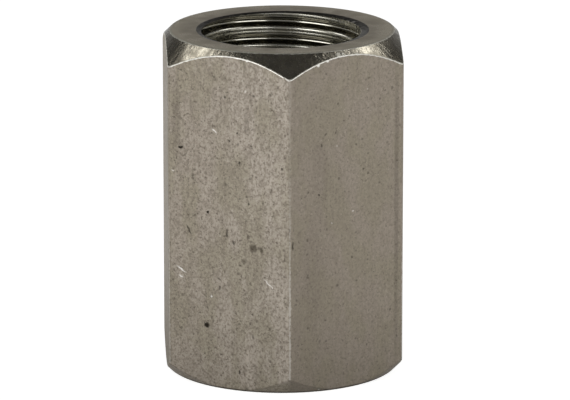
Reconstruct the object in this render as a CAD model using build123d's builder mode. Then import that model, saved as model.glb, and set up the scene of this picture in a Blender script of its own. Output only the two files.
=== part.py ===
from build123d import *
import math
import os

# Threaded socket: a piece of hexagon bar, drilled, tapped right through and turned at both ends.
# Millimetres, +Z up. The origin is the middle of the lower end face.
# Two corners of the hexagon point along -Y and +Y, two flats face -X and +X.

# Hexagon bar, turned so that two of its corners lie on the Y axis
across_flats = 19.0
length = 28.0
corner_round = 0.5
bar_turn = 30.0

# Turned ends: how far the round face on each end stays inside the flats, and the slope of the cone
upper_face_inset = 0.4
lower_face_inset = 0.1
end_cone_angle = 45.0

# Internal thread, right-handed, 60 degree form with a flat root and a flat crest.
# The wall is the steel left between its root and each flat, and the depth is from root to crest.
wall_at_flats = 2.5
thread_depth = 0.62
pitch = 1.5
flank_angle = 30.0
root_flat_share = 1 / 8
thread_start_angle = 42.0

# Countersink at each mouth: it starts a little outside the thread's root and slopes gently inwards
mouth_margin = 0.15
mouth_slope = 12.5

# Bar left over at each end while it is tapped, and how far the cutter reaches into the open bore
spare_turns = 2
cutter_inset = 0.15

# How far the turned section reaches past the corners of the bar
turning_margin = 1.0

corner_radius = across_flats / math.sqrt(3)
upper_face_radius = across_flats / 2 - upper_face_inset
lower_face_radius = across_flats / 2 - lower_face_inset
root_radius = across_flats / 2 - wall_at_flats
bore_radius = root_radius - thread_depth
mouth_radius = root_radius + mouth_margin
mouth_fall = mouth_radius * math.tan(math.radians(mouth_slope))
spare_length = spare_turns * pitch
bar_length = length + 2 * spare_length


def groove_section():
    """The V form of the groove: a flat root, open towards the bore."""
    depth = thread_depth + cutter_inset
    half_root = pitch * root_flat_share / 2
    half_open = half_root + depth * math.tan(math.radians(flank_angle))
    return [
        (root_radius, -half_root),
        (root_radius, half_root),
        (root_radius - depth, half_open),
        (root_radius - depth, -half_open),
    ]


def turned_section():
    """Half section that the lathe leaves: end faces, cones, and the countersinks carried to the axis."""
    rise = math.tan(math.radians(end_cone_angle))
    reach = corner_radius + turning_margin
    return [
        (0, mouth_fall),
        (mouth_radius, 0),
        (lower_face_radius, 0),
        (reach, (reach - lower_face_radius) * rise),
        (reach, length - (reach - upper_face_radius) * rise),
        (upper_face_radius, length),
        (mouth_radius, length),
        (0, length - mouth_fall),
    ]


# The groove of the thread, one V swept along a helix that starts at the angle zero
with BuildPart() as groove:
    with BuildLine() as helix:
        Helix(pitch, length + spare_length, root_radius)
    with BuildSketch(Plane.XZ):
        with BuildLine():
            Polyline(*groove_section(), close=True)
        make_face()
    sweep(path=helix.line, is_frenet=True)

groove_start = -spare_length / 2
groove_turn = thread_start_angle + 360 * groove_start / pitch
placed_groove = groove.part.moved(Location((0, 0, groove_start), (0, 0, groove_turn)))

with BuildPart() as threaded_socket:
    # Hexagon bar, longer than the socket
    with BuildSketch(Plane.XY.offset(-spare_length)) as bar:
        RegularPolygon(across_flats / 2, 6, major_radius=False, rotation=bar_turn)
        fillet(bar.vertices(), radius=corner_round)
    extrude(amount=bar_length)
    # Bore, then the thread, which starts and ends inside the spare bar
    with BuildSketch(Plane.XY.offset(-spare_length)):
        Circle(bore_radius)
    extrude(amount=bar_length, mode=Mode.SUBTRACT)
    add(placed_groove, mode=Mode.SUBTRACT)
    # Turning to length takes the spare bar off, with the cones and the countersinks
    with BuildSketch(Plane.XZ):
        with BuildLine():
            Polyline(*turned_section(), close=True)
        make_face()
    revolve(axis=Axis.Z, mode=Mode.INTERSECT)

os.makedirs("parts", exist_ok=True)
threaded_socket.part.label = "threaded_socket"
export_step(threaded_socket.part, "parts/threaded_socket.step")
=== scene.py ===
"""Looks of the threaded socket: a hexagon socket, tapped right through, on a white table."""

import logging
import math
from dataclasses import dataclass
from enum import Enum

import bmesh
import bpy
import numpy as np
from bpy.types import Material, Node, NodeSocket, NodeTree, Object
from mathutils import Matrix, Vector, noise


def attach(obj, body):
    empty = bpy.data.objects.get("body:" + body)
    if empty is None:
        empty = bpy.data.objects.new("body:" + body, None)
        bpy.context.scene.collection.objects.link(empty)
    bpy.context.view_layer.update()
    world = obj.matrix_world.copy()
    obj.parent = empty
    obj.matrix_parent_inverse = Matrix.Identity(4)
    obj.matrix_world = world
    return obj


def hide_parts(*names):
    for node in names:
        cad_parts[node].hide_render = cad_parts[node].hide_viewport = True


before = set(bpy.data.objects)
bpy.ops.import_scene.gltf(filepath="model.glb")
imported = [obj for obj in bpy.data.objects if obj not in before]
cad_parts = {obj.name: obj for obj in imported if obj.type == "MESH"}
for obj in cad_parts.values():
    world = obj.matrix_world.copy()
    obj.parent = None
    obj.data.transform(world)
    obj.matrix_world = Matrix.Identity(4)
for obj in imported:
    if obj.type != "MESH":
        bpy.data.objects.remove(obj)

MM = 0.001
SIXTH = math.pi / 3
NODE = "threaded_socket"
log = logging.getLogger("socket")

Pair = tuple[float, float]
Colour = tuple[float, float, float]
Point = tuple[float, float, float]
Value = NodeSocket | float


def show(name: str, data: bpy.types.ID) -> Object:
    """Puts a mesh, lamp or camera into the scene as an object."""
    made = bpy.data.objects.new(name, data)
    bpy.context.scene.collection.objects.link(made)
    return made


def direction(turn: float, rise: float) -> Vector:
    """Unit vector at an angle round the axis and an angle above the table, in radians."""
    level = math.cos(rise)
    return Vector((math.cos(turn) * level, math.sin(turn) * level, math.sin(rise)))


class Zone(Enum):
    """Surfaces of the socket that have a finish of their own."""

    FLAT = 0
    RING = 1
    CONE = 2
    MOUTH = 3
    LOWER_CONE = 4
    THREAD = 5


@dataclass(frozen=True)
class BarShape:
    """Sizes of the hexagon bar and its turned ends, in millimetres."""

    across_flats: float = 19.0
    length: float = 28.0
    corner_round: float = 0.5
    upper_face_inset: float = 0.4
    lower_face_inset: float = 0.1
    wall_at_flats: float = 2.5
    upper_mouth_margin: float = -0.03
    lower_mouth_margin: float = 0.15
    mouth_slope: float = math.radians(12.5)
    mouth_shift: float = 0.2
    mouth_shift_angle: float = math.radians(-78)

    @property
    def root_radius(self) -> float:
        """Radius of the thread at its root."""
        return self.across_flats / 2 - self.wall_at_flats

    @property
    def corner_centre(self) -> float:
        """Distance from the axis to the centre of a corner's rounding."""
        return (self.across_flats / 2 - self.corner_round) / math.cos(SIXTH / 2)

    def mouth_radius(self, angles: np.ndarray | float, upper: bool) -> np.ndarray | float:
        """Outer radius of the countersink, which sits a little off centre in the upper face.

        Args:
            angles: One direction round the axis or several, in radians.
            upper: True for the upper end.

        Returns:
            One radius for each direction.
        """
        if not upper:
            return self.root_radius + self.lower_mouth_margin + 0 * angles
        away = self.mouth_shift * np.cos(angles - self.mouth_shift_angle)
        return self.root_radius + self.upper_mouth_margin + away

    def face_radius(self, upper: bool) -> float:
        """Radius of the flat ring on one end."""
        inset = self.upper_face_inset if upper else self.lower_face_inset
        return self.across_flats / 2 - inset

    def corner_offset(self, angles: np.ndarray) -> np.ndarray:
        """Angle from the nearest corner of the hexagon, in radians."""
        return np.abs((angles - math.pi / 2 + SIXTH / 2) % SIXTH - SIXTH / 2)

    def radius_at(self, angles: np.ndarray) -> np.ndarray:
        """Distance from the axis to the side of the bar.

        Args:
            angles: Directions round the axis, in radians.

        Returns:
            One radius for each direction.
        """
        off = self.corner_offset(angles)
        flat = self.across_flats / 2 / np.cos(SIXTH / 2 - off)
        inside = np.maximum(self.corner_round**2 - (self.corner_centre * np.sin(off)) ** 2, 0)
        rounded = self.corner_centre * np.cos(off) + np.sqrt(inside)
        return np.where(off < self.arc_angle(), rounded, flat)

    def arc_angle(self) -> float:
        """Half the angle that a rounded corner takes up, seen from the axis."""
        side = self.corner_round * math.sin(SIXTH / 2)
        return math.atan2(side, self.corner_centre + self.corner_round * math.cos(SIXTH / 2))


@dataclass
class Ring:
    """One loop of points round the axis: radii, heights, and how worn the edge is there."""

    radius: np.ndarray
    height: np.ndarray
    rim: np.ndarray
    zone: Zone


# Between ring, cone and flat the surface bends by 45 degrees: the sine and cosine of half the bend,
# and how far the middle of a rounded edge lies off the sharp one, as a share of the round's reach
HALF_BEND = (0.383, 0.924)
BULGE = 0.199


@dataclass
class OuterSkin:
    """Flats, cones and end rings as loops from the upper countersink to the lower one.

    A round says how far an edge's rounding reaches to either side, and a gap how far a loop lies
    from it. All sizes are in millimetres. Shares are parts of the way across.
    """

    shape: BarShape
    arc_columns: int = 9
    flat_columns: int = 32
    flat_rows: int = 40
    rim_round: float = 0.08
    edge_round: float = 0.045
    mouth_round: float = 0.04
    wear_width: float = 0.05
    mouth_lip: float = 0.05
    ring_inner_gap: float = 0.1
    ring_outer_gap: float = 0.18
    edge_waver: float = 0.025
    ring_shares: tuple[float, ...] = (0.0, 0.25, 0.5, 0.75, 1.0)
    cone_shares: tuple[float, ...] = (0.06, 0.2, 0.35, 0.5, 0.65, 0.8, 0.92)
    near_arc: Pair = (0.5, 1.2)

    def angles(self) -> np.ndarray:
        """Directions of the columns: close together on each corner, even along each flat."""
        arc = self.shape.arc_angle()
        corner = np.linspace(-arc, arc, self.arc_columns)
        first, second = (arc + share * arc for share in self.near_arc)
        flat = np.linspace(second, SIXTH - second, self.flat_columns - 2)
        one = np.concatenate([corner, [first], flat, [SIXTH - first]])
        return np.concatenate([math.pi / 2 + k * SIXTH + one for k in range(6)])

    def waver(self, angles: np.ndarray, seed: float) -> np.ndarray:
        """How far the edge between cone and flat strays, long waves with short ones on them."""
        waves = []
        for angle in angles:
            around = direction(angle, 0)
            waves.append(noise.noise(6 * around + Vector((0, 0, seed)))
                         + 0.5 * noise.noise(23 * around + Vector((0, 0, 7))))
        return self.edge_waver * np.array(waves)

    def end_rings(self, angles: np.ndarray, upper: bool) -> list[Ring]:
        """Loops of one end, from the middle of the ring out to the flats.

        Args:
            angles: Directions of the columns.
            upper: True for the upper end.

        Returns:
            The loops, with heights measured inwards from the end face.
        """
        shape, count = self.shape, len(angles)
        face, side = shape.face_radius(upper), shape.radius_at(angles)
        drop = side - face + self.waver(angles, 3.0 + upper)

        def ring(radius: float | np.ndarray, depth: float | np.ndarray, rim: float | np.ndarray,
                 zone: Zone) -> Ring:
            """A loop whose values may be single numbers."""
            given = (np.asarray(value, float) for value in (radius, depth, rim))
            return Ring(*(np.broadcast_to(value, count).copy() for value in given), zone)

        rim, edge, bend = self.rim_round, self.edge_round, self.mouth_round
        mouth, fall = shape.mouth_radius(angles, upper), math.tan(shape.mouth_slope)
        inner, outer = mouth + bend + self.ring_inner_gap, face - rim - self.ring_outer_gap
        cone, worn = (Zone.CONE, 1.0) if upper else (Zone.LOWER_CONE, 0.0)
        sine, cosine = HALF_BEND
        diagonal = math.sqrt(0.5)
        start = np.array([np.full(count, face + rim * diagonal), np.full(count, rim * diagonal)])
        stop = np.array([side - edge * diagonal, drop - edge * diagonal])
        span = np.hypot(*(stop - start))
        rings = [
            ring(mouth - bend - self.mouth_lip, (bend + self.mouth_lip) * fall, 0, Zone.MOUTH),
            ring(mouth - bend, bend * fall, 0.5, Zone.MOUTH),
            ring(mouth, bend * fall * 0.4, 1, Zone.MOUTH),
            ring(mouth + bend, 0, 0.5, Zone.RING),
            *(ring(inner + (outer - inner) * share, 0, 0, Zone.RING) for share in self.ring_shares),
            ring(face - rim, 0, 0.7, Zone.RING),
            ring(face - BULGE * rim * sine, BULGE * rim * cosine, 1, cone),
            ring(*start, 0.7, cone),
        ]
        for share in self.cone_shares:
            near = np.minimum(span * share, span * (1 - share)) / self.wear_width
            place = start + (stop - start) * share
            rings.append(ring(*place, np.clip(0.7 - near, 0, 1) * worn, cone))
        rings += [
            ring(*stop, 0.8 * worn, cone),
            ring(side - BULGE * edge * cosine, drop + BULGE * edge * sine, worn, Zone.FLAT),
            ring(side, drop + edge, 0.8 * worn, Zone.FLAT),
            ring(side, drop + edge + self.wear_width, 0, Zone.FLAT),
        ]
        return rings

    def rings(self) -> tuple[np.ndarray, list[Ring]]:
        """All loops in order.

        Returns:
            Directions of the columns, and the loops, with heights above the lower end face.
        """
        angles = self.angles()
        upper, lower = (self.end_rings(angles, up) for up in (True, False))
        for ring in upper:
            ring.height = self.shape.length - ring.height
        top, bottom = upper[-1], lower[-1]
        sides = []
        for share in np.linspace(0, 1, self.flat_rows)[1:-1]:
            height = top.height + (bottom.height - top.height) * share
            sides.append(Ring(top.radius.copy(), height, np.zeros(len(angles)), Zone.FLAT))
        # A loop's zone is that of the faces below it, so the zones of the lower end move on by one
        zones = [Zone.MOUTH] + [ring.zone for ring in lower[:-1]]
        for ring, zone in zip(lower, zones):
            ring.zone = zone
        return angles, upper + sides + lower[::-1]


@dataclass
class ThreadSkin:
    """The thread in the bore, as one helical ribbon that ends in both countersinks."""

    shape: BarShape
    pitch: float = 1.5
    depth: float = 0.62
    flank: float = math.radians(30)
    start: float = math.radians(42)
    crease: float = 0.02
    crest_round: float = 0.05
    crest_shares: tuple[float, ...] = (0.0, 0.15, 0.35, 0.5, 0.65, 0.85, 1.0)
    columns: int = 160
    turns_below: int = 2
    spare_turns: int = 5

    def profile(self) -> list[Pair]:
        """One turn of the thread, from the middle of the groove up to the next one.

        The tap has left a rounded root and a shallow crease along the middle of the crest.

        Returns:
            Heights and radii, in millimetres.
        """
        root = self.shape.root_radius
        crest = root - self.depth
        flat = self.pitch / 16
        edge = flat + self.depth * math.tan(self.flank)
        up = [
            (0.0, root),
            (flat * 0.55, root - 0.006),
            (flat * 0.95, root - 0.024),
            (flat + 0.04, root - 0.068),
            (edge - self.crest_round, crest + self.crest_round / math.tan(self.flank)),
        ]
        first = edge + self.crest_round / 2
        for share in self.crest_shares:
            height = first + (self.pitch / 2 - first) * share
            up.append((height, crest + self.crease * (1 - 2 * share) ** 2))
        return up + [(self.pitch - height, radius) for height, radius in reversed(up[1:-1])]

    def ribbon(self) -> bmesh.types.BMesh:
        """The open tube of the thread, cut off by the cones of both countersinks.

        Returns:
            The ribbon, in millimetres, whose last column joins the first one a turn higher.
        """
        profile = self.profile()
        rows, columns = len(profile), self.columns
        total = rows * (math.ceil(self.shape.length / self.pitch) + self.spare_turns)
        mesh = bmesh.new()
        grid = []
        for k in range(total):
            offset, radius = profile[k % rows]
            base = self.pitch * (k // rows - self.turns_below) + offset
            line = []
            for c in range(columns):
                angle = 2 * math.pi * c / columns
                height = base + self.pitch * (angle - self.start) / (2 * math.pi)
                point = (radius * math.cos(angle), radius * math.sin(angle), height)
                line.append(mesh.verts.new(point))
            grid.append(line)
        for k in range(total - 1):
            for c in range(columns - 1):
                mesh.faces.new((grid[k][c], grid[k + 1][c], grid[k + 1][c + 1], grid[k][c + 1]))
            if k + rows + 1 < total:
                above, higher = grid[k + rows][0], grid[k + rows + 1][0]
                mesh.faces.new((grid[k][-1], grid[k + 1][-1], higher, above))
        for upper in (True, False):
            self.cut(mesh, upper)
        return mesh

    def cut(self, mesh: bmesh.types.BMesh, upper: bool) -> None:
        """Cuts one end along its countersink, which is straightened to a plane for the cut.

        Args:
            mesh: The ribbon.
            upper: True for the upper end.
        """
        level, side = (self.shape.length, 1) if upper else (0.0, -1)
        slope = math.tan(self.shape.mouth_slope)

        def fall(vert: bmesh.types.BMVert) -> float:
            """How far the cone lies below the end face at a point's direction and radius."""
            mouth = float(self.shape.mouth_radius(math.atan2(vert.co.y, vert.co.x), upper))
            return side * slope * (mouth - vert.co.xy.length)

        for vert in mesh.verts:
            vert.co.z += fall(vert)
        everything = mesh.verts[:] + mesh.edges[:] + mesh.faces[:]
        bmesh.ops.bisect_plane(mesh, geom=everything, dist=1e-5, plane_co=(0, 0, level),
                               plane_no=(0, 0, side), clear_outer=True)
        for vert in mesh.verts:
            vert.co.z -= fall(vert)


@dataclass
class Socket:
    """The whole socket as one closed mesh."""

    outer: OuterSkin
    thread: ThreadSkin
    sharp_angle: float = math.radians(38)
    corner_share: float = 0.7
    normal_weight: int = 80

    @staticmethod
    def countersink(skin: bmesh.types.BMesh, line: list[bmesh.types.BMVert],
                    rim: bmesh.types.BMLayerItem) -> None:
        """Fills the countersink between the open end of the thread and the first outer loop.

        Args:
            skin: The mesh that is being made.
            line: The outer loop, in order.
            rim: Vertex layer that says how close an edge is.
        """
        outer, level, reach = set(line), line[0].co.z, 1.0
        loop = [e for e in skin.edges if e.is_boundary and e.verts[0] not in outer
                and all(abs(v.co.z - level) < reach for v in e.verts)]
        for vert in {v for e in loop for v in e.verts}:
            vert[rim] = 1.0
        loop += [skin.edges.get(pair) for pair in zip(line, line[1:] + line[:1])]
        made = bmesh.ops.triangle_fill(skin, edges=loop, use_beauty=True, use_dissolve=False)
        for face in made["geom"]:
            if isinstance(face, bmesh.types.BMFace):
                face.material_index = Zone.MOUTH.value

    def mesh(self) -> bpy.types.Mesh:
        """Joins the outer loops and the thread at the two countersinks.

        Returns:
            A closed mesh in metres, with its zones as material indices and its edges as attributes.
        """
        angles, rings = self.outer.rings()
        skin = self.thread.ribbon()
        rim = skin.verts.layers.float.new("rim")
        corner = skin.verts.layers.float.new("corner")
        for face in skin.faces:
            face.material_index = Zone.THREAD.value
        shape = self.outer.shape
        width = self.corner_share * shape.arc_angle()
        at_corner = np.clip(1 - shape.corner_offset(angles) / width, 0, 1)
        cosines = np.array([math.cos(angle) for angle in angles])
        sines = np.array([math.sin(angle) for angle in angles])
        grid = []
        for ring in rings:
            points = zip(ring.radius * cosines, ring.radius * sines, ring.height)
            line = [skin.verts.new(point) for point in points]
            for k, vert in enumerate(line):
                vert[rim] = ring.rim[k]
                vert[corner] = at_corner[k] if ring.zone is Zone.FLAT else 0.0
            grid.append(line)
        for ring, line, below in zip(rings, grid, grid[1:]):
            for c in range(len(line)):
                d = (c + 1) % len(line)
                face = skin.faces.new((line[c], line[d], below[d], below[c]))
                face.material_index = ring.zone.value
        for line in (grid[0], grid[-1]):
            self.countersink(skin, line, rim)
        bmesh.ops.recalc_face_normals(skin, faces=skin.faces[:])
        for face in skin.faces:
            face.smooth = True
        for edge in skin.edges:
            if edge.is_manifold and edge.calc_face_angle(0) > self.sharp_angle:
                edge.smooth = False
        bmesh.ops.scale(skin, vec=(MM, MM, MM), verts=skin.verts[:])
        mesh = bpy.data.meshes.new("socket")
        skin.to_mesh(mesh)
        skin.free()
        return mesh

    def build(self) -> Object:
        """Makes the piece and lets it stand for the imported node."""
        piece = show("socket_turned", self.mesh())
        weighted = piece.modifiers.new("even_normals", "WEIGHTED_NORMAL")
        weighted.keep_sharp = True
        weighted.weight = self.normal_weight
        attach(piece, "root")
        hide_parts(NODE)
        return piece


def emptied(owner: Material | bpy.types.World) -> NodeTree:
    """Turns on the nodes of a material or a world, and takes its first ones out."""
    owner.use_nodes = True
    owner.node_tree.nodes.clear()
    return owner.node_tree


class Graph:
    """Short ways to add and join shader nodes in one tree."""

    def __init__(self, tree: NodeTree) -> None:
        """Keeps the tree that the nodes go into."""
        self.tree = tree

    def node(self, kind: str, **inputs: object) -> Node:
        """Adds a node and sets or links its inputs.

        Args:
            kind: The node's type, without the words ShaderNode.
            inputs: Sockets or values by input name, with _ for a space.

        Returns:
            The new node.
        """
        made = self.tree.nodes.new("ShaderNode" + kind)
        for name, value in inputs.items():
            self.put(made.inputs[name.replace("_", " ")], value)
        return made

    def put(self, socket: NodeSocket, value: object) -> None:
        """Links a socket to an input, or sets the input's own value."""
        if isinstance(value, NodeSocket):
            self.tree.links.new(value, socket)
        else:
            socket.default_value = value

    def math(self, operation: str, first: Value, second: Value = 0.0) -> NodeSocket:
        """One arithmetic step, and its result."""
        made = self.node("Math")
        made.operation = operation
        self.put(made.inputs[0], first)
        self.put(made.inputs[1], second)
        return made.outputs[0]

    def chain(self, operation: str, first: Value, *others: Value) -> Value:
        """Joins values one after another by the same arithmetic step."""
        for other in others:
            first = self.math(operation, first, other)
        return first

    def product(self, *values: Value) -> Value:
        """All values multiplied."""
        return self.chain("MULTIPLY", *values)

    def total(self, *values: Value) -> Value:
        """All values added."""
        return self.chain("ADD", *values)

    def highest(self, *values: Value) -> Value:
        """The highest of all values."""
        return self.chain("MAXIMUM", *values)

    def vector(self, operation: str, *values: object) -> NodeSocket:
        """One step of vector arithmetic, and its result."""
        made = self.node("VectorMath")
        made.operation = operation
        for socket, value in zip(made.inputs, values):
            self.put(socket, value)
        return made.outputs["Value" if operation in ("LENGTH", "DISTANCE") else "Vector"]

    def ramp(self, value: Value, low: Value, high: Value, to_low: float = 0.0,
             to_high: float = 1.0) -> NodeSocket:
        """Turns a range of values smoothly into another."""
        made = self.node("MapRange", Value=value, From_Min=low, From_Max=high, To_Min=to_low,
                         To_Max=to_high)
        made.interpolation_type = "SMOOTHSTEP"
        return made.outputs["Result"]

    def noise(self, position: object, scale: Value, detail: float = 2.0) -> NodeSocket:
        """Plain noise between 0 and 1."""
        return self.node("TexNoise", Vector=position, Scale=scale, Detail=detail).outputs["Fac"]

    def coats(self, base: Colour, *coats: tuple[Value, float, Colour]) -> NodeSocket:
        """Lays colours over a base, in order.

        Args:
            base: The colour that lies lowest.
            coats: For each coat its mask, its strength where the mask is full, and its colour.

        Returns:
            The colour that is seen.
        """
        seen = (*base, 1.0)
        for mask, strength, colour in coats:
            made = self.node("Mix")
            made.data_type = "RGBA"
            factor, below, above = made.inputs[0], made.inputs[6], made.inputs[7]
            self.put(factor, self.product(mask, strength))
            self.put(below, seen)
            self.put(above, (*colour, 1.0))
            seen = made.outputs[2]
        return seen


class Effect:
    """A node group that several finishes share, with named inputs and one output."""

    def __init__(self, name: str, output: str, **inputs: float | Point) -> None:
        """Makes the group's sockets, of which the first is always the position.

        Args:
            name: What the effect is called.
            output: Name of the value that the effect gives.
            inputs: Starting values by name: a point for a vector, otherwise a number.
        """
        self.tree = bpy.data.node_groups.new(name, "ShaderNodeTree")
        sockets = self.tree.interface
        for label, value in {"Position": (0, 0, 0), **inputs}.items():
            kind = "NodeSocketVector" if isinstance(value, tuple) else "NodeSocketFloat"
            socket = sockets.new_socket(name=label, in_out="INPUT", socket_type=kind)
            socket.default_value = value
        sockets.new_socket(name=output, in_out="OUTPUT", socket_type="NodeSocketFloat")
        self.graph = Graph(self.tree)
        self.given = self.tree.nodes.new("NodeGroupInput").outputs
        self.result = self.tree.nodes.new("NodeGroupOutput").inputs[0]

    def done(self, value: NodeSocket) -> NodeTree:
        """Gives a value out as the effect's result."""
        self.graph.put(self.result, value)
        return self.tree


class Effects:
    """The effects shared by the finishes. Positions are in millimetres."""

    def __init__(self) -> None:
        """Builds each effect once."""
        self.patches = self.make_patches()
        self.grooves = self.make_grooves()
        self.wear = self.make_wear()
        self.pits = self.make_pits()
        self.mark = self.make_mark()

    @staticmethod
    def make_patches() -> NodeTree:
        """Soft uneven patches, which may be drawn out along the axis."""
        e = Effect("patches", "Value", Size=1.0, Stretch=1.0, Low=0.3, High=0.7)
        g, given = e.graph, e.given
        flat = g.node("CombineXYZ", X=1.0, Y=1.0, Z=g.math("DIVIDE", 1.0, given["Stretch"]))
        drawn = g.vector("MULTIPLY", given["Position"], flat.outputs[0])
        value = g.noise(drawn, g.math("DIVIDE", 1.0, given["Size"]), 3.0)
        return e.done(g.ramp(value, given["Low"], given["High"]))

    @staticmethod
    def make_grooves() -> NodeTree:
        """Fine rings that a turning tool leaves round the axis."""
        e = Effect("turning_rings", "Value", Spacing=0.1, Waver=0.4)
        g, given = e.graph, e.given
        height = g.node("SeparateXYZ", Vector=given["Position"]).outputs["Z"]
        level = g.vector("MULTIPLY", given["Position"], (1, 1, 0))
        along = g.math("DIVIDE", g.total(g.vector("LENGTH", level), height), given["Spacing"])
        around = g.vector("MULTIPLY", g.vector("NORMALIZE", level), given["Waver"])
        place = g.vector("ADD", around, g.node("CombineXYZ", Z=along).outputs[0])
        return e.done(g.noise(place, 1.0))

    @staticmethod
    def make_wear() -> NodeTree:
        """Bright worn metal along an edge, broken up by noise."""
        e = Effect("edge_wear", "Mask", Edge=0.0, Grain=0.3, Breakup=0.5, Amount=0.6)
        g, given = e.graph, e.given
        speckle = g.noise(given["Position"], g.math("DIVIDE", 1.0, given["Grain"]))
        rough = g.product(g.math("SUBTRACT", speckle, 0.5), given["Breakup"], 2.0)
        low = g.math("SUBTRACT", 1.0, given["Amount"])
        bare = g.ramp(g.total(given["Edge"], rough), low, g.total(low, 0.3))
        return e.done(g.product(bare, g.ramp(given["Edge"], 0.0, 0.15)))

    @staticmethod
    def make_pits() -> NodeTree:
        """Small round pits scattered over a surface."""
        e = Effect("pits", "Mask", Spacing=1.0, Size=0.15, Share=0.5)
        g, given = e.graph, e.given
        place = given["Position"]
        wobble = g.node("TexNoise", Vector=place, Scale=6.0, Detail=1.0).outputs["Color"]
        bent = g.vector("ADD", place, g.vector("MULTIPLY", wobble, (0.12,) * 3))
        cells = g.node("TexVoronoi", Vector=bent, Scale=g.math("DIVIDE", 1.0, given["Spacing"]))
        near = g.product(cells.outputs["Distance"], given["Spacing"])
        draw = g.node("SeparateColor", Color=cells.outputs["Color"]).outputs
        size = g.product(given["Size"], g.total(0.4, draw["Green"]))
        spot = g.ramp(near, size, g.product(size, 0.35))
        return e.done(g.product(spot, g.math("LESS_THAN", draw["Red"], given["Share"])))

    @staticmethod
    def make_mark() -> NodeTree:
        """One oval mark at a place on a flat, with its own length, width and tilt."""
        e = Effect("mark", "Mask", Centre=(0, 0, 0), Facing=0.0, Tilt=0.0, Length=1.0, Width=0.2,
                   Softness=0.6)
        g, given = e.graph, e.given
        place = g.vector("SUBTRACT", given["Position"], given["Centre"])
        for turn, axis in (("Facing", "Z_AXIS"), ("Tilt", "X_AXIS")):
            turned = g.node("VectorRotate", Vector=place, Angle=g.product(given[turn], -1.0))
            turned.rotation_type = axis
            place = turned.outputs[0]
        half = [g.math("DIVIDE", given[size], 2.0) for size in ("Width", "Length")]
        sizes = g.node("CombineXYZ", X=1.0, Y=half[0], Z=half[1]).outputs[0]
        share = g.vector("LENGTH", g.vector("DIVIDE", place, sizes))
        return e.done(g.ramp(share, 1.0, g.math("SUBTRACT", 1.0, given["Softness"])))


class Side(Enum):
    """Flats that carry marks of their own, by the direction that they face, in radians."""

    LEFT = math.radians(-120)
    RIGHT = math.radians(-60)


class Tone(Enum):
    """What a mark does to the skin."""

    PIT = "dark hollow"
    # Dark stains, and also one long strip of painted shade by a corner
    STAIN_AND_SHADE = "dark stain"
    GRAZE = "dark scratch"
    SHINE = "bright scratch or spot"


# How soft the outline of each kind of mark is
SOFTNESS = {Tone.PIT: 0.55, Tone.STAIN_AND_SHADE: 0.6, Tone.GRAZE: 0.6, Tone.SHINE: 0.8}


@dataclass(frozen=True)
class Mark:
    """One mark on a flat.

    The position runs from the flat's middle line, to the right, and up from the lower end face.
    Sizes are in millimetres, and the lean is in degrees from upright.
    """

    tone: Tone
    side: Side
    along: float
    height: float
    length: float
    width: float
    lean: float = 0.0
    strength: float = 1.0

    def centre(self, shape: BarShape) -> Point:
        """Where the mark lies, in millimetres."""
        turn, out = self.side.value, shape.across_flats / 2
        return (out * math.cos(turn) - self.along * math.sin(turn),
                out * math.sin(turn) + self.along * math.cos(turn), self.height)


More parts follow.
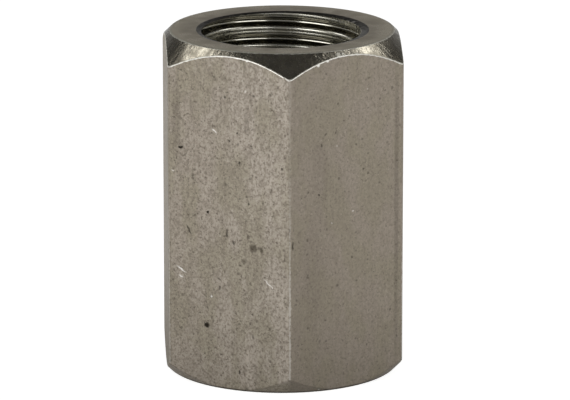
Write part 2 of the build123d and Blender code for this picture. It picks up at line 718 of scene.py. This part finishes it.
# Along, height, length, width, lean and strength of each mark, by its kind and its flat
MARK_ROWS = {
    (Tone.PIT, Side.LEFT): [
        (-2.01, 5.2, 0.66, 0.62), (-4.31, 19.74, 0.32, 0.56, 20), (-1.89, 14.63, 0.26, 0.3),
        (1.79, 15.72, 0.28, 0.24, 0, 0.7), (0.77, 21.44, 0.3, 0.24, 0, 0.7),
        (0.05, 20.71, 0.26, 0.22, 0, 0.7), (0.98, 19.0, 0.3, 0.22, 20, 0.7),
        (-0.35, 24.28, 0.26, 0.26, 0, 0.7), (4.78, 18.94, 0.26, 0.24, 0, 0.7),
        (0.95, 1.64, 0.5, 0.24, -15, 0.8), (-0.83, 8.44, 0.44, 0.2, 0, 0.6),
        (2.24, 24.6, 0.26, 0.26, 0, 0.6), (-4.3, 26.1, 0.2, 0.26, 0, 0.5),
        (2.2, 4.7, 0.5, 0.2, 0, 0.5),
    ],
    (Tone.PIT, Side.RIGHT): [
        (-2.72, 16.5, 0.22, 0.2, 0, 0.7), (-2.45, 20.5, 0.46, 0.22, 0, 0.6),
        (-1.1, 21.4, 0.24, 0.22, 0, 0.5), (1.6, 18.1, 0.22, 0.2, 0, 0.5),
        (0.5, 10.9, 0.24, 0.22, 0, 0.5), (-1.9, 0.12, 0.14, 0.6, 0, 0.7),
    ],
    (Tone.STAIN_AND_SHADE, Side.LEFT): [
        (2.2, 12.1, 1.0, 0.9, 0, 0.95), (2.95, 12.0, 0.65, 0.4, 0, 0.9),
        (1.75, 13.0, 0.5, 0.4, 0, 0.8), (1.35, 10.9, 0.6, 0.55, 0, 0.7),
        (1.5, 8.2, 0.42, 0.34, 0, 0.4), (1.6, 22.3, 3.6, 0.7, 0, 0.22),
        (-4.7, 22.0, 9.0, 1.0, 0, 0.25),
    ],
    (Tone.STAIN_AND_SHADE, Side.RIGHT): [
        (-3.3, 10.0, 12.0, 2.6, 0, 0.12), (-2.6, 18.0, 10.0, 2.0, 0, 0.1),
        # Painted shade: a long narrow dark strip along the right flat's outer corner
        (4.8, 14.5, 34.0, 0.6, 0, 0.35),
    ],
    (Tone.GRAZE, Side.LEFT): [
        (-3.59, 12.95, 1.2, 0.22, 27, 0.7), (-0.16, 13.05, 0.9, 0.24, 0, 0.7),
        (0.43, 12.34, 0.55, 0.28, 10, 0.7),
    ],
    (Tone.GRAZE, Side.RIGHT): [
        (-5.2, 12.6, 1.0, 0.22, 0, 0.7),
    ],
    (Tone.SHINE, Side.LEFT): [
        (-1.28, 21.4, 0.8, 0.17, 50, 0.9), (-5.02, 17.75, 0.4, 0.13, 70, 0.7),
        (-4.31, 9.62, 1.3, 0.22, 58), (-4.3, 9.03, 0.6, 0.2, 55, 0.9),
        (3.62, 9.26, 1.5, 0.16, 50, 0.8), (3.92, 9.0, 0.16, 0.16, 0, 0.9),
        (-1.57, 7.68, 0.34, 0.24), (1.5, 24.9, 0.3, 0.16, -20, 0.5),
    ],
    (Tone.SHINE, Side.RIGHT): [
        (0.58, 14.71, 0.18, 0.26, 0, 0.6), (-1.45, 14.01, 0.22, 0.14, 30, 0.7),
        (-0.99, 20.29, 0.22, 0.14, 0, 0.5), (1.95, 24.6, 0.14, 0.24, 0, 0.6),
        (-2.57, 0.25, 0.2, 0.2, 0, 0.7),
    ],
}
MARKS = [Mark(*kind, *row) for kind, rows in MARK_ROWS.items() for row in rows]

# Bright burrs on the mouth and on the edges, whose glints are painted into the colour: place and
# size in millimetres
GLINT_SPOTS = [
    ((-6.41, -0.03, 27.90), 0.24),
    ((6.00, 2.64, 27.83), 0.28),
    ((5.60, 3.10, 27.85), 0.18),
    ((4.00, -8.50, 27.68), 0.30),
    ((4.40, -8.35, 27.76), 0.20),
    ((2.30, -9.55, 27.10), 0.22),
    ((3.10, -9.15, 27.35), 0.16),
    ((5.60, -7.73, 27.60), 0.18),
    ((-7.10, -6.88, 27.60), 0.22),
    ((-3.30, -9.05, 27.45), 0.18),
]

# Colours of what lies on the steel, of the steel where it is rubbed bare, and of painted light and
# shade
# Painted light: the paler tone of the left flat
PAINTED_LEFT_LIGHT = (0.8, 0.73, 0.64)
FLECK = (0.62, 0.56, 0.48)
DOT = (0.1, 0.08, 0.06)
PORE = (0.07, 0.06, 0.045)
# Dark stains, and the strip of painted shade on the right flat
STAIN_AND_SHADE = (0.09, 0.075, 0.055)
OIL = (0.02, 0.016, 0.012)
# Painted shadow along the lower end of the socket
FOOT_SHADOW = (0.05, 0.04, 0.03)
# Painted shade at the far ends of the upper cone
CONE_END_SHADE = (0.13, 0.115, 0.085)
# Painted shade on the thread's flanks
FLANK_SHADE = (0.17, 0.155, 0.115)
SCRATCH = (0.9, 0.87, 0.82)
# A rubbed corner, with a painted highlight on it
RUBBED_CORNER_AND_HIGHLIGHT = (0.7, 0.66, 0.6)
# Bare edges, and painted glints on burrs
BARE_EDGE_AND_GLINT = (0.95, 0.93, 0.87)
BARE_RIM = (0.85, 0.82, 0.72)
# Bare cone edges, and painted glints on burrs
BARE_CONE_AND_GLINT = (0.9, 0.88, 0.78)
WARM_RING = (0.85, 0.76, 0.56)
# Painted glints in the countersink
MOUTH_GLINT = (0.85, 0.82, 0.75)
# Painted glints on the thread near the mouth
THREAD_GLINT = (1.0, 0.97, 0.9)


class Surface(Graph):
    """The graph of one finish, with the position in millimetres and the shared effects at hand."""

    def __init__(self, tree: NodeTree, effects: Effects) -> None:
        """Keeps the effects and finds the position."""
        super().__init__(tree)
        self.effects = effects
        place = self.node("TexCoord").outputs["Object"]
        self.position = self.vector("MULTIPLY", place, (1 / MM,) * 3)

    def place(self, effect: NodeTree, **inputs: object) -> NodeSocket:
        """Places a shared effect with its own values, at the position unless another is given."""
        made = self.tree.nodes.new("ShaderNodeGroup")
        made.node_tree = effect
        for name, value in {"Position": self.position, **inputs}.items():
            self.put(made.inputs[name], value)
        return made.outputs[0]

    def patches(self, size: float, low: float = 0.3, high: float = 0.7, stretch: float = 1.0,
                shift: Point = (0, 0, 0)) -> NodeSocket:
        """Patches of a size, for a range of the noise, drawn out and moved along.

        Args:
            size: How large the patches are, in millimetres.
            low: Noise at which a patch starts.
            high: Noise at which a patch is full.
            stretch: How many times longer than wide they are, up the bar.
            shift: How far the pattern is moved, in millimetres.

        Returns:
            How strong a patch is at each point.
        """
        moved = self.vector("ADD", self.position, shift) if any(shift) else self.position
        return self.place(self.effects.patches, Position=moved, Size=size, Stretch=stretch, Low=low,
                          High=high)

    def grooves(self, spacing: float, waver: float) -> NodeSocket:
        """Turning rings of a spacing in millimetres."""
        return self.place(self.effects.grooves, Spacing=spacing, Waver=waver)

    def worn(self, edge: str, grain: float, breakup: float, amount: float) -> NodeSocket:
        """Wear along the edges that a vertex attribute names."""
        near = self.node("Attribute")
        near.attribute_name = edge
        return self.place(self.effects.wear, Edge=near.outputs["Fac"], Grain=grain,
                          Breakup=breakup, Amount=amount)

    def part(self, axis: str) -> NodeSocket:
        """The position along one axis."""
        return self.node("SeparateXYZ", Vector=self.position).outputs[axis]

    def radius(self) -> NodeSocket:
        """Distance from the socket's axis."""
        return self.vector("LENGTH", self.vector("MULTIPLY", self.position, (1, 1, 0)))

    def glints(self) -> NodeSocket:
        """Mask of the painted glints on the burrs."""
        away = [(self.vector("DISTANCE", self.position, centre), size) for centre, size in GLINT_SPOTS]
        return self.highest(*(self.ramp(gap, size, size * 0.4) for gap, size in away))


@dataclass
class Look:
    """What a finish gives its shader. The height's full range is a depth in millimetres."""

    colour: NodeSocket
    roughness: NodeSocket
    height: NodeSocket
    depth: float


@dataclass(frozen=True)
class Steel:
    """What the finishes of the socket share."""

    name: str
    colour: Colour
    shade: Colour
    roughness: float

    def look(self, s: Surface) -> Look:
        """The finish itself, which each kind of surface has in its own way."""
        raise NotImplementedError

    def material(self, effects: Effects) -> Material:
        """Builds the material.

        Args:
            effects: The shared effects.

        Returns:
            Bare metal with the colour, roughness and relief of the finish.
        """
        material = bpy.data.materials.new(self.name)
        s = Surface(emptied(material), effects)
        look = self.look(s)
        relief = s.node("Bump", Strength=1.0, Distance=look.depth * MM, Height=look.height)
        shader = s.node("BsdfPrincipled", Base_Color=look.colour, Metallic=1.0,
                        Roughness=look.roughness, Normal=relief.outputs["Normal"])
        s.node("OutputMaterial", Surface=shader.outputs[0])
        return material


@dataclass(frozen=True)
class DrawnSkin(Steel):
    """The dull mottled skin of the drawn hexagon bar, with the marks on its two front flats.

    Spans say between which places, across the bar or up it in millimetres, a tone comes in.
    """

    shape: BarShape = BarShape()
    left_span: Pair = (0.25, -0.25)
    # Span across the left flat over which its painted light grows
    left_light_span: Pair = (-9.0, -1.0)
    # Span across the right flat over which its painted shade grows
    right_shade_span: Pair = (6.0, 1.5)
    # Heights over which the corners' wear and painted highlight grow stronger downwards
    ridge_wear_and_highlight_span: Pair = (19.0, 7.0)
    # Heights over which the painted shadow along the lower end fades out
    foot_shadow_span: Pair = (0.24, 0.1)

    def marks(self, s: Surface, tone: Tone) -> NodeSocket:
        """Masks of all marks of one tone, joined.

        Args:
            s: The finish's graph.
            tone: Which marks to take.

        Returns:
            How strong such a mark is at each point.
        """
        wobble = s.node("TexNoise", Vector=s.position, Scale=4.0, Detail=2.0).outputs["Color"]
        bend = s.vector("MULTIPLY", s.vector("SUBTRACT", wobble, (0.5,) * 3), (0.25,) * 3)
        bent = s.vector("ADD", s.position, bend)
        masks = []
        for mark in (mark for mark in MARKS if mark.tone is tone):
            mask = s.place(s.effects.mark, Position=bent, Centre=mark.centre(self.shape),
                           Facing=mark.side.value, Tilt=math.radians(mark.lean),
                           Length=mark.length, Width=mark.width, Softness=SOFTNESS[tone])
            masks.append(s.product(mask, mark.strength))
        return s.highest(*masks)

    def look(self, s: Surface) -> Look:
        """Mottled tones, with painted light on the left flat and painted shade on the right, then
        dirt, pits and scratches, then metal worn bare along the edges with painted glints, a
        painted highlight on the worn corners and a painted shadow along the lower end.

        Args:
            s: The finish's graph.

        Returns:
            Its colour, roughness and relief.
        """
        across, height = s.part("X"), s.part("Z")
        left = s.ramp(across, *self.left_span)
        right = s.math("SUBTRACT", 1.0, left)
        coarse = s.total(0.55, s.product(left, 0.4))
        # Painted light: the left flat is coloured paler, for the stronger light that falls on it
        pale = s.product(left, s.ramp(across, *self.left_light_span, 0.1, 0.32))
        # Painted shade: the right flat is coloured darker, for the weaker light that falls on it
        dull = s.product(right, s.ramp(across, *self.right_shade_span, 0.2, 0.36))
        cloud = s.patches(1.9, 0.4, 0.6, 2.2)
        blotch = s.patches(0.9, 0.42, 0.72, 1.5)
        grain = s.patches(0.26, 0.46, 0.68, 1.2)
        speckle = s.patches(0.17, 0.44, 0.68, 1.2, (3.0, 9.0, 5.0))
        streak = s.patches(0.3, 0.35, 0.65, 16.0)
        flecks = s.patches(0.16, 0.58, 0.72, shift=(7.0, 3.0, 11.0))
        dots = s.patches(0.18, 0.57, 0.7, shift=(1.0, 13.0, 8.0))
        pores = s.place(s.effects.pits, Spacing=0.5, Size=0.13, Share=s.product(coarse, 0.4))
        pits, stains_and_shade, grazes, shine = (self.marks(s, tone) for tone in Tone)
        hollows = s.highest(pits, grazes)
        # Wear along the edges, with painted glints on the burrs
        worn = s.highest(s.worn("rim", 0.28, 0.9, 0.65), s.glints())
        # Worn corners with a painted highlight along them, stronger towards the lower end
        ridge_wear_and_highlight = s.product(s.worn("corner", 0.2, 0.8, 0.5),
                          s.ramp(height, *self.ridge_wear_and_highlight_span, 0.08, 0.6))
        # Painted shadow: a dark band along the lower end, where the socket stands on the table
        foot_shadow = s.ramp(height, *self.foot_shadow_span)
        olive = tuple(part * share for part, share in zip(self.colour, (0.9, 0.93, 0.83)))
        colour = s.coats(
            self.colour,
            (pale, 1.0, PAINTED_LEFT_LIGHT),
            (cloud, 0.65, olive),
            (dull, 1.0, self.shade),
            (s.product(blotch, coarse), 0.3, self.shade),
            (s.product(grain, coarse), 0.7, self.shade),
            (s.product(speckle, coarse), 0.55, self.shade),
            (streak, 0.15, self.shade),
            (s.product(flecks, coarse), 0.4, FLECK),
            (s.product(dots, coarse), 0.65, DOT),
            (pores, 0.5, PORE),
            # Dark stains, with a strip of painted shade along the right flat's outer corner
            (stains_and_shade, 0.8, STAIN_AND_SHADE),
            (hollows, 0.95, OIL),
            (shine, 1.0, SCRATCH),
            (worn, 0.95, BARE_EDGE_AND_GLINT),
            (ridge_wear_and_highlight, 1.0, RUBBED_CORNER_AND_HIGHLIGHT),
            (foot_shadow, 0.85, FOOT_SHADOW),
        )
        rough = s.total(self.roughness, s.product(speckle, 0.08), s.product(worn, -0.1))
        skin = s.total(s.product(speckle, 0.45), s.product(grain, 0.5), s.product(streak, 0.15))
        relief = s.total(s.product(skin, coarse), s.product(pores, -0.8), s.product(hollows, -2.0))
        return Look(colour, rough, relief, 0.018)


@dataclass(frozen=True)
class TurnedRing(Steel):
    """The flat ring that the lathe leaves on each end, warmer between two radii."""

    warm_span: Pair = (7.3, 9.1)

    def look(self, s: Surface) -> Look:
        """Turning rings and soft blotches, warmer towards the rim, bare along both edges.

        Args:
            s: The finish's graph.

        Returns:
            Its colour, roughness and relief.
        """
        rings, fine = s.grooves(0.14, 0.8), s.grooves(0.05, 1.6)
        blotch = s.patches(1.3)
        worn = s.worn("rim", 0.5, 0.25, 0.7)
        warm = s.ramp(s.radius(), *self.warm_span, 0.0, 0.6)
        colour = s.coats(
            self.colour,
            (blotch, 0.5, self.shade),
            (rings, 0.5, self.shade),
            (warm, 1.0, WARM_RING),
            (worn, 0.8, BARE_RIM),
        )
        rough = s.total(self.roughness, s.product(blotch, 0.08), s.product(worn, 0.3))
        return Look(colour, rough, s.total(s.product(rings, 0.7), s.product(fine, 0.3)), 0.012)


@dataclass(frozen=True)
class TurnedCone(Steel):
    """The cone that cuts the corners of the bar, dragged and mottled down its slope.

    Spans are distances across the bar from its middle, in millimetres.
    """

    # Span across the bar over which the cone's painted shade comes in
    end_shade_span: Pair = (7.7, 8.8)
    torn_start: Pair = (0.8, 4.4)
    torn_end: Pair = (6.2, 5.2)
    torn_sides: Pair = (-4.0, 4.0)

    def look(self, s: Surface) -> Look:
        """Drag lines and blotches, painted shade at the side corners, and torn metal at the front.

        Args:
            s: The finish's graph.

        Returns:
            Its colour, roughness and relief.
        """
        slope = s.vector("NORMALIZE", s.vector("MULTIPLY", s.position, (1, 1, 0.25)))
        drags = s.place(s.effects.patches, Position=slope, Size=0.035, Low=0.35, High=0.65)
        blotch, grain = (s.patches(size, 0.35, 0.65) for size in (0.55, 0.16))
        # Wear along the edges, with painted glints on the burrs
        worn = s.highest(s.worn("rim", 0.3, 0.4, 0.5), s.glints())
        across = s.part("X")
        reach = s.math("ABSOLUTE", across)
        # Painted shade: the cone darkens towards its far left and right ends, where it mirrors a
        # dim part of the room
        end_shade = s.ramp(reach, *self.end_shade_span, 0.0, 0.8)
        colour = s.coats(
            self.colour,
            (blotch, 0.6, self.shade),
            (drags, 0.45, self.shade),
            (grain, 0.25, self.shade),
            (end_shade, 1.0, CONE_END_SHADE),
            (worn, 0.9, BARE_CONE_AND_GLINT),
        )
        rough = s.total(self.roughness, s.product(blotch, 0.1), s.product(worn, 0.3))
        torn = s.product(s.ramp(reach, *self.torn_start), s.ramp(reach, *self.torn_end),
                         s.ramp(across, *self.torn_sides, 0.7, 2.4))
        relief = s.total(s.product(drags, 0.6), s.product(grain, 0.3))
        return Look(colour, rough, s.product(relief, s.total(torn, 1.0)), 0.015)


@dataclass(frozen=True)
class DarkMouth(Steel):
    """The narrow countersink, coloured dark, with a few painted glints."""

    def look(self, s: Surface) -> Look:
        """Dark blotches with painted glints on them.

        Args:
            s: The finish's graph.

        Returns:
            Its colour, roughness and relief.
        """
        blotch = s.patches(0.4)
        # Painted glints: bright spots on the dark countersink
        glints = s.highest(s.patches(0.13, 0.66, 0.76), s.glints())
        colour = s.coats(self.colour, (blotch, 1.0, self.shade), (glints, 1.0, MOUTH_GLINT))
        return Look(colour, s.total(self.roughness, s.product(blotch, 0.12)), blotch, 0.01)


@dataclass(frozen=True)
class CutThread(Steel):
    """The cut faces of the thread: bright crests and roots, and flanks painted dark as shade.

    Spans are radii in millimetres, between which the crest ends and the root starts.
    """

    crest_end: Pair = (6.42, 6.52)
    root_start: Pair = (6.93, 6.985)

    def look(self, s: Surface) -> Look:
        """Fine tool rings, painted shade on the flanks between two radii, and crests that are
        rubbed.

        Args:
            s: The finish's graph.

        Returns:
            Its colour, roughness and relief.
        """
        rings, blotch, radius = s.grooves(0.06, 2.0), s.patches(1.1), s.radius()
        # Painted shade: the flanks between crest and root are coloured dark, where they mirror the
        # dark room overhead
        flank_shade = s.product(s.ramp(radius, *self.crest_end), s.ramp(radius, *self.root_start[::-1]))
        colour = s.coats(
            self.colour,
            (blotch, 1.0, self.shade),
            (flank_shade, 0.85, FLANK_SHADE),
            # Painted glints on the burrs near the mouth
            (s.glints(), 1.0, THREAD_GLINT),
        )
        rubbed = s.ramp(radius, *self.crest_end[::-1], 0.0, 0.11)
        rough = s.total(rubbed, self.roughness, s.product(blotch, 0.04))
        return Look(colour, rough, rings, 0.0003)


@dataclass
class Softbox:
    """One rectangular lamp that faces the socket, placed by angles seen from the camera's side."""

    name: str
    azimuth: float
    elevation: float
    size: Pair
    radiance: float
    distance: float = 0.6

    def build(self, centre: Vector, camera_turn: float) -> Object:
        """Adds the lamp.

        Args:
            centre: The point it faces, in metres.
            camera_turn: Direction of the camera round the axis, in radians.

        Returns:
            The lamp.
        """
        width, height = self.size
        data = bpy.data.lights.new(self.name, "AREA")
        data.shape, data.size, data.size_y = "RECTANGLE", width, height
        data.energy = self.radiance * math.pi * width * height
        lamp = show(self.name, data)
        away = direction(camera_turn + math.radians(self.azimuth), math.radians(self.elevation))
        lamp.location = centre + away * self.distance
        lamp.rotation_euler = away.to_track_quat("Z", "Y").to_euler()
        return lamp


@dataclass
class Studio:
    """Camera, lamps, table and surroundings. Lengths are in metres, the lens is in millimetres."""

    shape: BarShape
    camera_turn: float = math.radians(-93.33)
    camera_rise: float = math.radians(14.31)
    camera_distance: float = 0.416
    lens: float = 321.5
    sensor: float = 36.0
    shift: Pair = (0.00542, -0.0068)
    clip: Pair = (0.01, 50.0)
    table_half: float = 6.0
    table_steps: int = 24
    table_colour: Colour = (0.7, 0.7, 0.7)
    mirrored_reach: Pair = (0.004, 0.045)
    mirrored_glow: Pair = (0.18, 0.62)
    seen_glow: float = 0.85
    horizon: Pair = (0.05, 0.5)
    room_glow: Pair = (0.42, 0.05)

    def centre(self) -> Vector:
        """Middle of the socket, in metres."""
        return Vector((0, 0, self.shape.length / 2 * MM))

    def camera(self) -> None:
        """Sets up the camera at the photograph's angle."""
        data = bpy.data.cameras.new("camera")
        data.sensor_width, data.lens = self.sensor, self.lens
        data.shift_x, data.shift_y = self.shift
        data.clip_start, data.clip_end = self.clip
        camera = show("camera", data)
        away = direction(self.camera_turn, self.camera_rise)
        camera.location = self.centre() + away * self.camera_distance
        camera.rotation_euler = away.to_track_quat("Z", "Y").to_euler()
        bpy.context.scene.camera = camera

    def lamps(self) -> None:
        """Softboxes in front of the socket on both sides, and two more behind it, higher up."""
        front, back = (0.46, 0.3), (0.2, 0.2)
        boxes = [
            Softbox("front_left", -46, 22, front, 2.35),
            Softbox("front_right", 46, 22, front, 1.6),
            Softbox("back_left", -115, 46, back, 2.1),
            Softbox("back_right", 115, 46, back, 2.6),
        ]
        for box in boxes:
            box.build(self.centre(), self.camera_turn)

    def table(self) -> None:
        """A white table that keeps the socket's shadow; in the steel's reflections its glow is
        dimmed near the socket, a painted shadow.
        """
        mesh = bpy.data.meshes.new("table")
        row = self.table_steps + 1
        steps = np.linspace(-self.table_half, self.table_half, row)
        points = [(x, y, 0.0) for y in steps for x in steps]
        starts = [r * row + c for r in range(row - 1) for c in range(row - 1)]
        mesh.from_pydata(points, [], [(k, k + 1, k + row + 1, k + row) for k in starts])
        table = show("table", mesh)
        material = bpy.data.materials.new("table_white")
        g = Graph(emptied(material))
        path = g.node("LightPath").outputs
        away = g.vector("LENGTH", g.node("TexCoord").outputs["Object"])
        # Painted shadow: seen in reflections, the table glows less near the socket
        near = g.ramp(away, *self.mirrored_reach, *self.mirrored_glow)
        mirrored = g.product(near, path["Is Glossy Ray"])
        looked_at = g.total(path["Is Camera Ray"], path["Is Transmission Ray"])
        strength = g.total(mirrored, g.product(self.seen_glow, looked_at))
        surface = g.node("BsdfDiffuse", Color=(*self.table_colour, 1))
        glow = g.node("Emission", Color=(1, 1, 1, 1), Strength=strength)
        both = g.node("AddShader")
        g.put(both.inputs[0], surface.outputs[0])
        g.put(both.inputs[1], glow.outputs[0])
        g.node("OutputMaterial", Surface=both.outputs[0])
        mesh.materials.append(material)

    def surroundings(self) -> None:
        """A room that is pale near the horizon and dark overhead."""
        world = bpy.data.worlds.new("room")
        bpy.context.scene.world = world
        g = Graph(emptied(world))
        up = g.node("SeparateXYZ", Vector=g.node("TexCoord").outputs["Generated"]).outputs["Z"]
        level = g.ramp(up, *self.horizon, *self.room_glow)
        back = g.node("Background", Color=(1, 1, 1, 1), Strength=level)
        g.node("OutputWorld", Surface=back.outputs[0])

    def build(self) -> None:
        """Adds everything around the socket."""
        self.camera()
        self.lamps()
        self.table()
        self.surroundings()
        bpy.context.scene.view_settings.view_transform = "Standard"


def finishes(shape: BarShape) -> dict[Zone, Steel]:
    """The finish of each zone, with its colour, its shade and its roughness.

    Args:
        shape: Sizes of the bar, by which the marks on its flats are placed.

    Returns:
        One finish for each zone.
    """
    return {
        Zone.FLAT: DrawnSkin("drawn_skin", (0.40, 0.35, 0.29), (0.25, 0.215, 0.172), 0.5, shape),
        Zone.RING: TurnedRing("turned_ring", (0.64, 0.55, 0.39), (0.44, 0.375, 0.26), 0.26),
        Zone.CONE: TurnedCone("turned_cone", (0.60, 0.56, 0.46), (0.33, 0.295, 0.225), 0.22),
        Zone.MOUTH: DarkMouth("dark_mouth", (0.12, 0.105, 0.08), (0.05, 0.045, 0.035), 0.3),
        Zone.LOWER_CONE: DrawnSkin("lower_cone", (0.36, 0.315, 0.26), (0.22, 0.19, 0.15), 0.5,
                                   shape),
        Zone.THREAD: CutThread("cut_thread", (0.88, 0.86, 0.77), (0.66, 0.64, 0.55), 0.14),
    }


def main() -> None:
    """Builds the studio, the socket and its finishes."""
    logging.basicConfig(level=logging.INFO, format="%(name)s: %(message)s")
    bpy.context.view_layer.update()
    shape = BarShape()
    Studio(shape).build()
    log.info("studio ready")
    piece = Socket(OuterSkin(shape), ThreadSkin(shape)).build()
    effects = Effects()
    steels = finishes(shape)
    for zone in Zone:
        piece.data.materials.append(steels[zone].material(effects))
    log.info("%s: %d faces", piece.name, len(piece.data.polygons))


if __name__ == "__main__":
    main()
